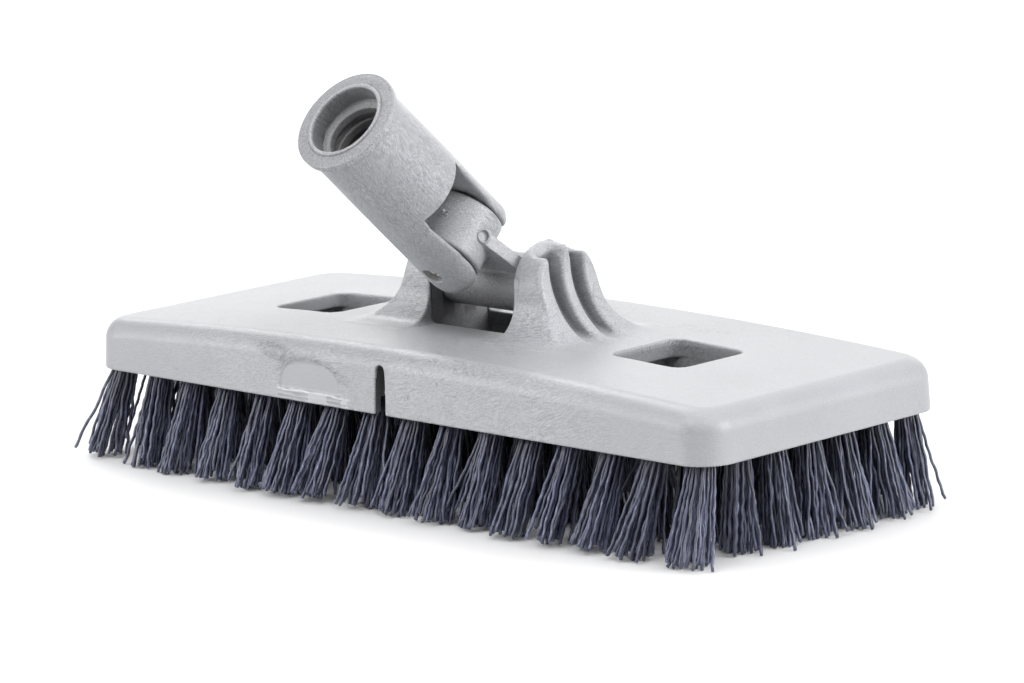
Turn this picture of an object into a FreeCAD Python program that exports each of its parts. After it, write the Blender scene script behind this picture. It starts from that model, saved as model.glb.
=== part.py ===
import FreeCAD, Part
import math
import os

V = FreeCAD.Vector
doc = FreeCAD.newDocument("swivel_scrub_brush")

# ---------------------------------------------------------------- driving dimensions (mm, degrees)
# Heights named *_z are measured from the lower rim of the block's skirt.
DIMS = [
    # moulded block
    ("block_len", 250.0), ("block_wid", 101.6), ("block_blank", 24.0), ("corner_rad", 10.6),
    ("skirt_draft", 2.0), ("crown_top_z", 19.2), ("crown_rad", 1800.0), ("edge_rad", 5.0),
    ("skirt_wall", 3.5), ("skirt_wall_rad", 4.5), ("tuft_face_z", 4.5),
    ("window_x", 69.0), ("window_len", 27.6), ("window_wid", 29.2), ("window_rad", 2.4),
    ("window_lip", 4.0), ("window_lip_z", 11.5),
    ("well_len", 34.0), ("well_wid", 23.4), ("well_rad", 1.0),
    ("notch_x", -0.6), ("notch_wid", 4.0), ("notch_top_z", 14.4), ("notch_depth", 14.0),
    ("relief_half", 2.9), ("relief_top_z", 15.4), ("relief_skin", 1.0),
    # pedestals that carry the lower axle
    ("ped_foot_z", 14.0), ("ped_top_z", 45.2), ("ped_half", 12.6),
    ("ped_outer_rad", 22.9), ("ped_outer_x", 49.9), ("ped_outer_z", 40.0),
    ("ped_flare_rad", 11.0), ("ped_flare_z", 29.5),
    ("groove_rad", 25.0), ("groove_x", 46.5), ("groove_z", 40.5), ("groove_wid", 4.8), ("groove_in", 2.1),
    # swivel joint
    ("axle_z", 32.0), ("axle_rad", 3.0), ("axle_left", 20.4), ("axle_right", 20.4), ("axle_chamfer", 0.5),
    ("seat_clear", 0.02), ("run_clear", 0.06),
    ("tilt_deg", 47.9), ("joint_reach", 24.3), ("side_clear", 0.3),
    ("low_barrel_rad", 8.7), ("up_barrel_rad", 11.3), ("up_barrel_len", 16.0),
    ("web_thick", 4.0), ("web_top_x", 10.8), ("web_top_up", 3.3), ("web_side_z", 9.25),
    ("mark_rad", 1.55), ("mark_deep", 0.8), ("mark_x", 11.7),
    # handle socket, measured along the tube from the upper pin
    ("tube_rad", 15.2), ("tube_end_rad", 15.0), ("bead_rad", 16.2), ("mouth_at", 57.4), ("bead_len", 2.4),
    ("lead_rad", 11.1), ("lead_len", 5.8), ("thread_minor_rad", 9.3), ("thread_major_rad", 10.9),
    ("thread_pitch", 5.0), ("thread_open", 2.3), ("thread_root", 1.2), ("bore_floor_at", 28.6),
    ("slot_half", 8.5), ("slot_half_top", 9.9), ("slot_top", 23.0), ("arm_end_rad", 12.7), ("arm_end_up", 1.4),
    ("pin_rad", 3.0), ("pin_wall", 1.1), ("pin_half", 13.3), ("pin_slit_deg", 20.0), ("pin_chamfer", 0.5),
    # bristle tufts and their flat wire anchors
    ("bristle_drop", 28.0), ("tuft_columns", 16), ("tuft_rows", 7), ("tuft_pitch_x", 15.5), ("tuft_pitch_y", 14.2),
    ("tuft_hole_rad", 3.1), ("tuft_hole_deep", 8.0), ("tuft_root_rad", 2.8), ("tuft_tip_rad", 6.0),
    ("lean_end_deg", 13.0), ("lean_side_deg", 12.0),
    ("anchor_len", 6.4), ("anchor_thick", 0.35), ("anchor_high", 1.9), ("anchor_gap", 0.05),
    # shift of the block's centre so that the whole brush is centred over the origin
    ("centre_shift", 8.2),
]
sheet = doc.addObject("Spreadsheet::Sheet", "params")
for row, (alias, value) in enumerate(DIMS, start=1):
    sheet.set("A%d" % row, alias)
    sheet.set("B%d" % row, repr(value))
    sheet.setAlias("B%d" % row, alias)
doc.recompute()


class Dim:
    """A dimension: its present value, and the expression over the sheet that gives it."""

    def __init__(self, value, text):
        self.value, self.text = float(value), text

    @staticmethod
    def of(x):
        return x if isinstance(x, Dim) else Dim(x, repr(float(x)))

    def __add__(self, o):
        o = Dim.of(o)
        return Dim(self.value + o.value, "(%s + %s)" % (self.text, o.text))

    def __sub__(self, o):
        o = Dim.of(o)
        return Dim(self.value - o.value, "(%s - %s)" % (self.text, o.text))

    def __rsub__(self, o):
        return Dim.of(o) - self

    def __mul__(self, o):
        o = Dim.of(o)
        return Dim(self.value * o.value, "(%s * %s)" % (self.text, o.text))

    def __truediv__(self, o):
        o = Dim.of(o)
        return Dim(self.value / o.value, "(%s / %s)" % (self.text, o.text))

    def __neg__(self):
        return Dim(-self.value, "(0 - %s)" % self.text)

    __radd__ = __add__
    __rmul__ = __mul__


def D(alias):
    return Dim(float(sheet.get(alias)), "params." + alias)


def bind(obj, prop, dim):
    obj.setExpression(prop, Dim.of(dim).text)


# ---------------------------------------------------------------- small builders
def plane_of(body, role):
    return [f for f in body.Origin.OriginFeatures if f.Role == role][0]


def new_sketch(body, name, role):
    sk = body.newObject("Sketcher::SketchObject", name)
    sk.AttachmentSupport = [(plane_of(body, role), "")]
    sk.MapMode = "FlatFace"
    return sk


def pin_point(Sketcher_add, sk, geo, pos, x, y):
    """Hold one sketch point at (x, y), each bound to its expression."""
    for kind, axis, dim in (("DistanceX", -2, x), ("DistanceY", -1, y)):
        dim = Dim.of(dim)
        if dim.value == 0:
            Sketcher_add("PointOnObject", geo, pos, axis)
        else:
            n = Sketcher_add(kind, -1, 1, geo, pos, dim.value)
            sk.setExpression("Constraints[%d]" % n, dim.text)


def polygon(sk, pts):
    """Closed polygon whose corners are held at the given dimensions."""
    import Sketcher

    def add(*a):
        return sk.addConstraint(Sketcher.Constraint(*a))

    vals = [(Dim.of(x).value, Dim.of(y).value) for x, y in pts]
    n = len(pts)
    for i in range(n):
        a, b = vals[i], vals[(i + 1) % n]
        sk.addGeometry(Part.LineSegment(V(a[0], a[1], 0), V(b[0], b[1], 0)), False)
    for i in range(n):
        add("Coincident", i, 2, (i + 1) % n, 1)
    for i, (x, y) in enumerate(pts):
        pin_point(add, sk, i, 1, x, y)


def disc(sk, x, y, r):
    """Circle held at (x, y) with radius r."""
    import Sketcher

    def add(*a):
        return sk.addConstraint(Sketcher.Constraint(*a))

    x, y, r = Dim.of(x), Dim.of(y), Dim.of(r)
    g = sk.addGeometry(Part.Circle(V(x.value, y.value, 0), V(0, 0, 1), r.value), False)
    n = add("Radius", g, r.value)
    sk.setExpression("Constraints[%d]" % n, r.text)
    pin_point(add, sk, g, 3, x, y)


def rounded_rect(sk, length, width, rad):
    """Rounded rectangle centred on the sketch's origin."""
    import Sketcher

    def add(*a):
        return sk.addConstraint(Sketcher.Constraint(*a))

    L, W, r = length.value / 2, width.value / 2, rad.value
    lines = [((-L + r, -W), (L - r, -W)), ((L, -W + r), (L, W - r)), ((L - r, W), (-L + r, W)), ((-L, W - r), (-L, -W + r))]
    for a, b in lines:
        sk.addGeometry(Part.LineSegment(V(a[0], a[1], 0), V(b[0], b[1], 0)), False)
    arcs = [((L - r, -W + r), -90, 0), ((L - r, W - r), 0, 90), ((-L + r, W - r), 90, 180), ((-L + r, -W + r), 180, 270)]
    for c, a0, a1 in arcs:
        sk.addGeometry(
            Part.ArcOfCircle(Part.Circle(V(c[0], c[1], 0), V(0, 0, 1), r), math.radians(a0), math.radians(a1)), False
        )
    for i in range(4):
        add("Tangent", i, 2, 4 + i, 1)
        add("Tangent", 4 + i, 2, (i + 1) % 4, 1)
    add("Horizontal", 0)
    add("Horizontal", 2)
    add("Vertical", 1)
    add("Vertical", 3)
    for i in (5, 6, 7):
        add("Equal", 4, i)
    add("Symmetric", 0, 1, 2, 1, -1, 1)
    n = add("Radius", 4, r)
    sk.setExpression("Constraints[%d]" % n, rad.text)
    n = add("DistanceX", 3, 1, 1, 1, 2 * L)
    sk.setExpression("Constraints[%d]" % n, length.text)
    n = add("DistanceY", 0, 1, 2, 1, 2 * W)
    sk.setExpression("Constraints[%d]" % n, width.text)


def pad(body, name, sk, length, symmetric=False):
    f = body.newObject("PartDesign::Pad", name)
    f.Profile = sk
    if symmetric:
        f.SideType = "Symmetric"
    bind(f, "Length", length)
    return f


def pocket(body, name, sk, length, symmetric=False, up=False):
    f = body.newObject("PartDesign::Pocket", name)
    f.Profile = sk
    if symmetric:
        f.SideType = "Symmetric"
    f.Reversed = up
    bind(f, "Length", length)
    return f


def cylinder(name, axis, rad, height, x, y, z):
    """Cylinder from the point (x, y, z) along +X, +Y or +Z."""
    o = doc.addObject("Part::Cylinder", name)
    turn = {"X": (V(0, 1, 0), 90), "Y": (V(1, 0, 0), -90), "Z": (V(0, 0, 1), 0)}[axis]
    o.Placement = FreeCAD.Placement(V(0, 0, 0), FreeCAD.Rotation(*turn))
    bind(o, "Radius", rad)
    bind(o, "Height", height)
    for k, d in zip("xyz", (x, y, z)):
        bind(o, "Placement.Base." + k, d)
    return o


def box(name, size, corner):
    o = doc.addObject("Part::Box", name)
    for p, d in zip(("Length", "Width", "Height"), size):
        bind(o, p, d)
    for k, d in zip("xyz", corner):
        bind(o, "Placement.Base." + k, d)
    return o


def boolean(kind, name, base, tool):
    o = doc.addObject("Part::" + kind, name)
    o.Base, o.Tool = base, tool
    return o


def fuse(name, shapes):
    o = doc.addObject("Part::MultiFuse", name)
    o.Shapes = shapes
    o.Refine = True
    return o


nodes = []


def finish(obj, label):
    """Name a finished sub-part and stand it over the origin on its bristle tips."""
    obj.Label = label
    nodes.append(obj)
    return obj


LIFT = D("bristle_drop")
SHIFT = D("centre_shift")

# ---------------------------------------------------------------- block: moulded body
body = doc.addObject("PartDesign::Body", "block_body")
sk = new_sketch(body, "outline", "XY_Plane")
rounded_rect(sk, D("block_len"), D("block_wid"), D("corner_rad"))
blank = pad(body, "blank", sk, D("block_blank"))
bind(blank, "TaperAngle", -D("skirt_draft"))

# crowned top: everything above a large arc is taken off
sk = new_sketch(body, "crown", "XZ_Plane")
import Sketcher

half, over = 140.0, 40.0
R, top = D("crown_rad"), D("crown_top_z")
drop = R.value - math.sqrt(R.value ** 2 - half ** 2)
a_end = math.atan2(R.value - drop, half)
arc = Part.ArcOfCircle(Part.Circle(V(0, top.value - R.value, 0), V(0, 0, 1), R.value), a_end, math.pi - a_end)
sk.addGeometry(arc, False)
ze = top.value - drop
for a, b in (((-half, ze), (-half, over)), ((-half, over), (half, over)), ((half, over), (half, ze))):
    sk.addGeometry(Part.LineSegment(V(a[0], a[1], 0), V(b[0], b[1], 0)), False)
for c in (
    ("Coincident", 0, 2, 1, 1), ("Coincident", 1, 2, 2, 1), ("Coincident", 2, 2, 3, 1), ("Coincident", 3, 2, 0, 1),
    ("Vertical", 1), ("Vertical", 3), ("Horizontal", 2), ("PointOnObject", 0, 3, -2),
    ("DistanceX", -1, 1, 3, 1, half), ("DistanceX", 1, 2, -1, 1, half), ("DistanceY", -1, 1, 3, 1, over),
):
    sk.addConstraint(Sketcher.Constraint(*c))
n = sk.addConstraint(Sketcher.Constraint("Radius", 0, R.value))
sk.setExpression("Constraints[%d]" % n, R.text)
n = sk.addConstraint(Sketcher.Constraint("DistanceY", 0, 3, -1, 1, R.value - top.value))
sk.setExpression("Constraints[%d]" % n, (R - top).text)
pocket(body, "crown_cut", sk, Dim.of(200), symmetric=True)
doc.recompute()

# soft rounded top edge, all the way round
edges = []
for i, e in enumerate(body.Tip.Shape.Edges, start=1):
    if e.BoundBox.ZMin > 10:
        edges.append("Edge%d" % i)
f = body.newObject("PartDesign::Fillet", "edge_round")
f.Base = (body.getObject("crown_cut"), edges)
bind(f, "Radius", D("edge_rad"))

# hollow under the skirt, down to the face that the tufts stand in
sk = new_sketch(body, "skirt_inside", "XY_Plane")
rounded_rect(sk, D("block_len") - 2 * D("skirt_wall"), D("block_wid") - 2 * D("skirt_wall"), D("skirt_wall_rad"))
pocket(body, "skirt_hollow", sk, D("tuft_face_z"), up=True)

# windows, with a thinner lip under each
for tag, sign in (("right", 1), ("left", -1)):
    sk = new_sketch(body, "window_lip_" + tag, "XY_Plane")
    bind(sk, "AttachmentOffset.Base.x", sign * D("window_x"))
    rounded_rect(sk, D("window_len") + 2 * D("window_lip"), D("window_wid") + 2 * D("window_lip"), D("window_rad") + D("window_lip") / 2)
    pocket(body, "window_recess_" + tag, sk, D("window_lip_z"), up=True)
    sk = new_sketch(body, "window_" + tag, "XY_Plane")
    bind(sk, "AttachmentOffset.Base.x", sign * D("window_x"))
    rounded_rect(sk, D("window_len"), D("window_wid"), D("window_rad"))
    pocket(body, "window_cut_" + tag, sk, Dim.of(40), up=True)

# central well between the pedestals
sk = new_sketch(body, "well", "XY_Plane")
rounded_rect(sk, D("well_len"), D("well_wid"), D("well_rad"))
pocket(body, "well_cut", sk, Dim.of(40), up=True)
doc.recompute()

# ---------------------------------------------------------------- block: pedestals
inner_x = D("well_len") / 2
arch_z = D("ped_top_z") - D("ped_half")
flare_y = D("ped_half") + D("ped_flare_rad")
foot = D("ped_foot_z")
reach = D("ped_outer_x") - inner_x
stock = box("ped_stock", (reach, 2 * flare_y, D("ped_top_z") - foot), (inner_x, -flare_y, foot))
sweep = cylinder("ped_outer_sweep", "Y", D("ped_outer_rad"), 2 * flare_y + 4, D("ped_outer_x"), -flare_y - 2, D("ped_outer_z"))
profile = boolean("Cut", "ped_profile", stock, sweep)
post = box("ped_post", (reach, 2 * D("ped_half"), arch_z - foot), (inner_x, -D("ped_half"), foot))
arch = cylinder("ped_arch", "X", D("ped_half"), reach, inner_x, 0, arch_z)
flare_stock = box("ped_flare_stock", (reach, 2 * flare_y, D("ped_flare_z") - foot), (inner_x, -flare_y, foot))
flare_cut = [
    cylinder("ped_flare_cut_%s" % t, "X", D("ped_flare_rad"), reach + 4, inner_x - 2, s * flare_y, D("ped_flare_z"))
    for t, s in (("front", -1), ("back", 1))
]
flare = boolean("Cut", "ped_flare_a", flare_stock, flare_cut[0])
flare = boolean("Cut", "ped_flare_b", flare, flare_cut[1])
across = fuse("ped_across", [post, arch, flare])
solid = boolean("Common", "ped_solid", profile, across)
grooves = [
    cylinder("ped_groove_%s" % t, "Y", D("groove_rad"), D("groove_wid"), D("groove_x"), y, D("groove_z"))
    for t, y in (("back", D("groove_in")), ("front", -D("groove_in") - D("groove_wid")))
]
solid = boolean("Cut", "ped_fins_a", solid, grooves[0])
ped = boolean("Cut", "pedestal_right", solid, grooves[1])
ped_l = doc.addObject("Part::Mirroring", "pedestal_left")
ped_l.Source = ped
ped_l.Normal = V(1, 0, 0)
moulded = fuse("moulded", [body, ped, ped_l])

# ---------------------------------------------------------------- tuft layout
cols, rows = int(D("tuft_columns").value), int(D("tuft_rows").value)
px, py = D("tuft_pitch_x").value, D("tuft_pitch_y").value
hole_r, hole_deep = D("tuft_hole_rad").value, D("tuft_hole_deep").value
face_z, drop_z = D("tuft_face_z").value, D("bristle_drop").value
xs = [(i - (cols - 1) / 2) * px for i in range(cols)]
ys = [(j - (rows - 1) / 2) * py for j in range(rows)]
wx, wl, ww = D("window_x").value, D("window_len").value, D("window_wid").value


def blocked(x, y):
    """True where a window or the well leaves no wall for a tuft hole."""
    wall = hole_r + 1.2
    near_window = abs(abs(x) - wx) < wl / 2 + wall and abs(y) < ww / 2 + wall
    near_well = abs(x) < D("well_len").value / 2 + wall and abs(y) < D("well_wid").value / 2 + wall
    return near_window or near_well


def row_of(i, j):
    if j == 0:
        return "front_row"
    if j == rows - 1:
        return "back_row"
    if i == 0:
        return "left_end"
    if i == cols - 1:
        return "right_end"
    return ("second_front", "inner_front", "centre_row", "inner_back", "second_back")[j - 1]


layout = {}
for j, y in enumerate(ys):
    for i, x in enumerate(xs):
        if blocked(x, y):
            continue
        lx = math.tan(math.radians(D("lean_end_deg").value)) * (-1 if i == 0 else 1 if i == cols - 1 else 0)
        ly = math.tan(math.radians(D("lean_side_deg").value)) * (-1 if j == 0 else 1 if j == rows - 1 else 0)
        down = V(lx, ly, -1)
        down.normalize()
        layout.setdefault(row_of(i, j), []).append((V(x, y, face_z), down))

# ---------------------------------------------------------------- block: holes
holes = []
for spots in layout.values():
    for at, down in spots:
        holes.append(Part.makeCylinder(hole_r, hole_deep + 2.5, at - down * hole_deep, down))
hole_tool = doc.addObject("Part::Feature", "tuft_holes")
hole_tool.Shape = Part.makeCompound(holes)
seat_r = D("axle_rad") + D("seat_clear")
bore = cylinder("axle_bore", "X", seat_r, D("axle_left") + D("axle_right") + 0.4, -D("axle_left") - 0.2, 0, D("axle_z"))
notches = []
for t, s in (("front", -1), ("back", 1)):
    y0 = (-D("block_wid") / 2 - 2) if s < 0 else (D("block_wid") / 2 - D("notch_depth"))
    deep = D("notch_depth") + 2
    r = D("notch_wid") / 2
    notches.append(box("notch_%s" % t, (D("notch_wid"), deep, D("notch_top_z") - r + 2), (D("notch_x") - r, y0, Dim.of(-2))))
    notches.append(cylinder("notch_end_%s" % t, "Y", r, deep, D("notch_x"), y0, D("notch_top_z") - r))
    long = D("notch_depth") - D("relief_skin")
    y1 = (-D("block_wid") / 2 + D("relief_skin")) if s < 0 else (D("block_wid") / 2 - D("notch_depth"))
    h = D("relief_half")
    notches.append(box("relief_%s" % t, (2 * h, long, D("relief_top_z") + 2), (D("notch_x") - h, y1, Dim.of(-2))))
cutters = fuse("block_cutters", [bore] + notches)
drilled = boolean("Cut", "block_drilled", moulded, cutters)
block = boolean("Cut", "block_final", drilled, hole_tool)
bind(block, "Placement.Base.y", SHIFT)
bind(block, "Placement.Base.z", LIFT)
finish(block, "brush_block")

# ---------------------------------------------------------------- lower axle pin
pin = doc.addObject("PartDesign::Body", "axle_body")
sk = new_sketch(pin, "axle_half_section", "XZ_Plane")
r, c, a, b = D("axle_rad"), D("axle_chamfer"), -D("axle_left"), D("axle_right")
polygon(sk, [(0, a), (r - c, a), (r, a + c), (r, b - c), (r - c, b), (0, b)])
rev = pin.newObject("PartDesign::Revolution", "axle_turned")
rev.Profile = sk
rev.ReferenceAxis = (sk, ["V_Axis"])
rev.Angle = 360
pin.Placement = FreeCAD.Placement(V(0, 0, 0), FreeCAD.Rotation(V(0, 1, 0), 90))
bind(pin, "Placement.Base.y", SHIFT)
bind(pin, "Placement.Base.z", LIFT + D("axle_z"))
finish(pin, "axle_pin")

# ---------------------------------------------------------------- swivel cross
# Modelled about the lower axle, upright; then tilted about it with the socket.
cross = doc.addObject("PartDesign::Body", "cross_body")
low_len = D("well_len") - 2 * D("side_clear")
J = D("joint_reach")
sk = new_sketch(cross, "low_barrel_ring", "YZ_Plane")
disc(sk, 0, 0, D("low_barrel_rad"))
pad(cross, "low_barrel", sk, low_len, symmetric=True)
sk = new_sketch(cross, "up_barrel_ring", "XZ_Plane")
disc(sk, 0, J, D("up_barrel_rad"))
pad(cross, "up_barrel", sk, D("up_barrel_len"), symmetric=True)
sk = new_sketch(cross, "web_outline", "XZ_Plane")
wt, wu, ws = D("web_top_x"), J + D("web_top_up"), D("web_side_z")
polygon(sk, [(-low_len / 2, 0), (low_len / 2, 0), (low_len / 2, ws), (wt, wu), (-wt, wu), (-low_len / 2, ws)])
pad(cross, "web", sk, D("web_thick"), symmetric=True)
sk = new_sketch(cross, "low_bore_ring", "YZ_Plane")
disc(sk, 0, 0, D("axle_rad") + D("run_clear"))
pocket(cross, "low_bore", sk, low_len + 10, symmetric=True)
sk = new_sketch(cross, "up_bore_ring", "XZ_Plane")
disc(sk, 0, J, D("pin_rad") + D("run_clear"))
pocket(cross, "up_bore", sk, D("up_barrel_len") + 10, symmetric=True)
doc.recompute()
# round ejector recess at the head of each web shoulder
slope = math.atan2(wu.value - ws.value, low_len.value / 2 - wt.value)
marks = []
for t, s in (("right", 1), ("left", -1)):
    o = doc.addObject("Part::Cylinder", "web_mark_" + t)
    bind(o, "Radius", D("mark_rad"))
    bind(o, "Height", D("mark_deep") + 4)
    out = V(s * math.sin(slope), 0, math.cos(slope))
    along = D("mark_x").value - wt.value
    face = V(s * D("mark_x").value, 0, wu.value - along * math.tan(slope))
    o.Placement = FreeCAD.Placement(face - out * D("mark_deep").value, FreeCAD.Rotation(V(0, 0, 1), out))
    marks.append(o)
mark_pair = fuse("web_marks", marks)
swivel = boolean("Cut", "cross_final", cross, mark_pair)
swivel.Placement = FreeCAD.Placement(V(0, 0, 0), FreeCAD.Rotation(V(1, 0, 0), D("tilt_deg").value))
bind(swivel, "Placement.Rotation.Angle", D("tilt_deg"))
bind(swivel, "Placement.Base.y", SHIFT)
bind(swivel, "Placement.Base.z", LIFT + D("axle_z"))
finish(swivel, "swivel_cross")

# ---------------------------------------------------------------- handle socket
# Modelled about the upper pin with the tube along +Z.
sock = doc.addObject("PartDesign::Body", "socket_body")
sk = new_sketch(sock, "socket_half_section", "XZ_Plane")
M, T, B = D("mouth_at"), D("tube_rad"), D("bead_rad")
lead, minor = D("lead_rad"), D("thread_minor_rad")
step = M - D("lead_len")
polygon(
    sk,
    [
        (0, -D("arm_end_rad") - 1), (T, -D("arm_end_rad") - 1), (T, D("slot_top")), (D("tube_end_rad"), M - D("bead_len") - 0.4), (B, M - D("bead_len")),
        (B, M - 0.6), (B - 0.6, M), (lead + 0.5, M), (lead, M - 0.5), (lead, step), (minor, step - 0.8),
        (minor, D("bore_floor_at")), (0, D("bore_floor_at") - 1.2),
    ],
)
rev = sock.newObject("PartDesign::Revolution", "socket_turned")
rev.Profile = sk
rev.ReferenceAxis = (sk, ["V_Axis"])
rev.Angle = 360
# fork slot between the two arms
sk = new_sketch(sock, "fork_slot", "YZ_Plane")
S, low = D("slot_half"), -D("arm_end_rad") - 5
W = D("slot_half_top")
polygon(sk, [(-S, low), (S, low), (S, 0), (W, D("slot_top")), (-W, D("slot_top")), (-S, 0)])
pocket(sock, "fork_slot_cut", sk, 2 * T + 10, symmetric=True)
# pin holes through both arms
sk = new_sketch(sock, "pin_ring", "XZ_Plane")
disc(sk, 0, 0, D("pin_rad") + D("seat_clear"))
pocket(sock, "pin_hole", sk, 2 * T + 10, symmetric=True)
doc.recompute()
# coarse handle thread: one helical groove cut outward from the smooth bore
sk = new_sketch(sock, "thread_section", "XZ_Plane")
tz = step + 0.6
hw, hr, inn, out = D("thread_open") / 2, D("thread_root") / 2, minor - 0.25, D("thread_major_rad")
flank = (hw - hr) / (out - minor) * 0.25
polygon(sk, [(inn, tz - hw - flank), (out, tz - hr), (out, tz + hr), (inn, tz + hw + flank)])
hx = sock.newObject("PartDesign::SubtractiveHelix", "thread_cut")
hx.Profile = sk
hx.ReferenceAxis = (sk, ["V_Axis"])
hx.Mode = "pitch-height-angle"
hx.Reversed = True
hx.LeftHanded = False
bind(hx, "Pitch", D("thread_pitch"))
bind(hx, "Height", step - D("bore_floor_at") - 2.2)
doc.recompute()
# rounded arm ends about the upper pin
end_box = box("arm_end_stock", (2 * T + 8, 2 * T + 8, D("arm_end_rad") + 8 + D("arm_end_up")), (-T - 4, -T - 4, -D("arm_end_rad") - 8))
end_keep = cylinder("arm_end_round", "Y", D("arm_end_rad"), 2 * T + 12, 0, -T - 6, D("arm_end_up"))
end_cut = boolean("Cut", "arm_end_cut", end_box, end_keep)
socket = boolean("Cut", "socket_final", sock, end_cut)
socket.Placement = FreeCAD.Placement(V(0, 0, 0), FreeCAD.Rotation(V(1, 0, 0), D("tilt_deg").value))
bind(socket, "Placement.Rotation.Angle", D("tilt_deg"))
up_y = "(0 - params.joint_reach * sin(params.tilt_deg * 1 deg) + params.centre_shift)"
up_z = "(params.joint_reach * cos(params.tilt_deg * 1 deg) + params.axle_z + params.bristle_drop)"
socket.setExpression("Placement.Base.y", up_y)
socket.setExpression("Placement.Base.z", up_z)
finish(socket, "handle_socket")

# ---------------------------------------------------------------- slotted spring pin of the upper joint
spring = doc.addObject("PartDesign::Body", "spring_body")
sk = new_sketch(spring, "spring_half_section", "XZ_Plane")
r, w, c, h = D("pin_rad"), D("pin_wall"), D("pin_chamfer"), D("pin_half")
polygon(sk, [(r - w, -h), (r - c, -h), (r, -h + c), (r, h - c), (r - c, h), (r - w, h)])
rev = spring.newObject("PartDesign::Revolution", "spring_rolled")
rev.Profile = sk
rev.ReferenceAxis = (sk, ["V_Axis"])
bind(rev, "Angle", 360 - D("pin_slit_deg"))
doc.recompute()
# laid along the upper barrel, with its slit turned towards the socket's mouth
tilt = FreeCAD.Rotation(V(1, 0, 0), D("tilt_deg").value)
lay = FreeCAD.Rotation(V(1, 0, 0), -90)
spring.Placement = FreeCAD.Placement(V(0, 0, 0), tilt.multiply(lay).multiply(FreeCAD.Rotation(V(0, 0, 1), 130)))
spring.setExpression("Placement.Base.y", up_y)
spring.setExpression("Placement.Base.z", up_z)
finish(spring, "spring_pin")

# ---------------------------------------------------------------- tufts and anchors
root_r, tip_r = D("tuft_root_rad").value, D("tuft_tip_rad").value
al, at_, ah, ag = (D(k).value for k in ("anchor_len", "anchor_thick", "anchor_high", "anchor_gap"))
above_floor = Part.makeBox(400, 300, 80, V(-200, -150, -drop_z))
place = FreeCAD.Placement(V(0, SHIFT.value, LIFT.value), FreeCAD.Rotation())
for name in (
    "front_row", "second_front", "inner_front", "centre_row", "inner_back", "second_back", "back_row", "left_end", "right_end",
):
    tufts, anchors = [], []
    for spot, down in layout[name]:
        up = down * -1
        free = (face_z + drop_z) / -down.z
        slope_r = (tip_r - root_r) / free
        extra = 3.0
        stem = Part.makeCylinder(root_r, hole_deep - 0.2, spot + up * (hole_deep - 0.2), down)
        cone = Part.makeCone(root_r, tip_r + slope_r * extra, free + extra, spot, down)
        tuft = stem.fuse(cone).common(above_floor)
        a = V(1, 1, 0) - up * V(1, 1, 0).dot(up)
        a.normalize()
        b = up.cross(a)
        turn = FreeCAD.Rotation(a, b, up, "ZXY")
        base = spot + up * (hole_deep - 0.2 - 0.9 - ah)

        def bar(length, thick, high, at):
            s = Part.makeBox(length, thick, high, V(-length / 2, -thick / 2, 0))
            s.Placement = FreeCAD.Placement(at, turn)
            return s

        # each tuft is folded over its anchor, so its root is slit where the anchor lies
        tuft = tuft.cut(bar(al + 1, at_ + 2 * ag, ah + 2 * ag, base - up * ag))
        tuft = tuft.removeSplitter()
        tufts.append(tuft.Solids[0])
        anchors.append(bar(al, at_, ah, base))
        if len(tuft.Solids) != 1:
            raise RuntimeError("tuft in %s is not one solid" % name)
    for kind, shapes in (("tufts", tufts), ("anchors", anchors)):
        o = doc.addObject("Part::Feature", "%s_%s" % (kind, name))
        o.Shape = Part.makeCompound(shapes)
        o.Placement = place
        finish(o, "%s_%s" % (kind, name))

# ---------------------------------------------------------------- checks and files
doc.recompute()
bad = [o.Name for o in doc.Objects if any(s in ("Invalid", "Error") for s in o.State)]
if bad:
    raise RuntimeError("failed objects: " + ", ".join(bad))
for o in nodes:
    s = o.Shape
    if s.isNull() or not s.isValid() or not s.Solids:
        raise RuntimeError("bad shape: " + o.Label)
os.makedirs("parts", exist_ok=True)
lo, hi = V(1e9, 1e9, 1e9), V(-1e9, -1e9, -1e9)
for o in nodes:
    o.Shape.exportStep("parts/%s.step" % o.Label)
    bb = o.Shape.BoundBox
    lo = V(min(lo.x, bb.XMin), min(lo.y, bb.YMin), min(lo.z, bb.ZMin))
    hi = V(max(hi.x, bb.XMax), max(hi.y, bb.YMax), max(hi.z, bb.ZMax))
    print("%-22s solids %3d  volume %10.1f  box %s" % (o.Label, len(o.Shape.Solids), o.Shape.Volume, bb))
print("whole", lo, hi, "tufts", sum(len(v) for v in layout.values()))
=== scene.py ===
import math

import bpy
import numpy as np
from mathutils import Matrix, Vector


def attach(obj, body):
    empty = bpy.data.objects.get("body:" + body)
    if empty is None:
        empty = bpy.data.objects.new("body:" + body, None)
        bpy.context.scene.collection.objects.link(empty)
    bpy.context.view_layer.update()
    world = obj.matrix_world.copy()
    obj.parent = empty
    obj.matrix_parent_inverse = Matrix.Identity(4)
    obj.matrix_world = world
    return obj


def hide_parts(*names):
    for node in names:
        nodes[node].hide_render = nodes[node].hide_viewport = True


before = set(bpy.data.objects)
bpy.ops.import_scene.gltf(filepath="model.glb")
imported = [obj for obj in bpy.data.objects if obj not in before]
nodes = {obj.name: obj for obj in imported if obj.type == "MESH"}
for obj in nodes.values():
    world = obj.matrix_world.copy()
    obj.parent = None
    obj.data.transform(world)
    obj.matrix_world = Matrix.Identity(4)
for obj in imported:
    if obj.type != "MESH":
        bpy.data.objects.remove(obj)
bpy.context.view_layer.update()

# ------------------------------------------------------------------ frame of the block
# Shapes are worked out in millimetres about the block: z = 0 on the skirt's lower rim.
SHIFT = np.array([0.0, 8.2, 28.0])
ALPHA = math.radians(47.9)
P1 = np.array([0.0, 0.0, 32.0])
DD = np.array([0.0, -math.sin(ALPHA), math.cos(ALPHA)])
E2 = np.array([0.0, math.cos(ALPHA), math.sin(ALPHA)])
P2 = P1 + 24.3 * DD
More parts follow.
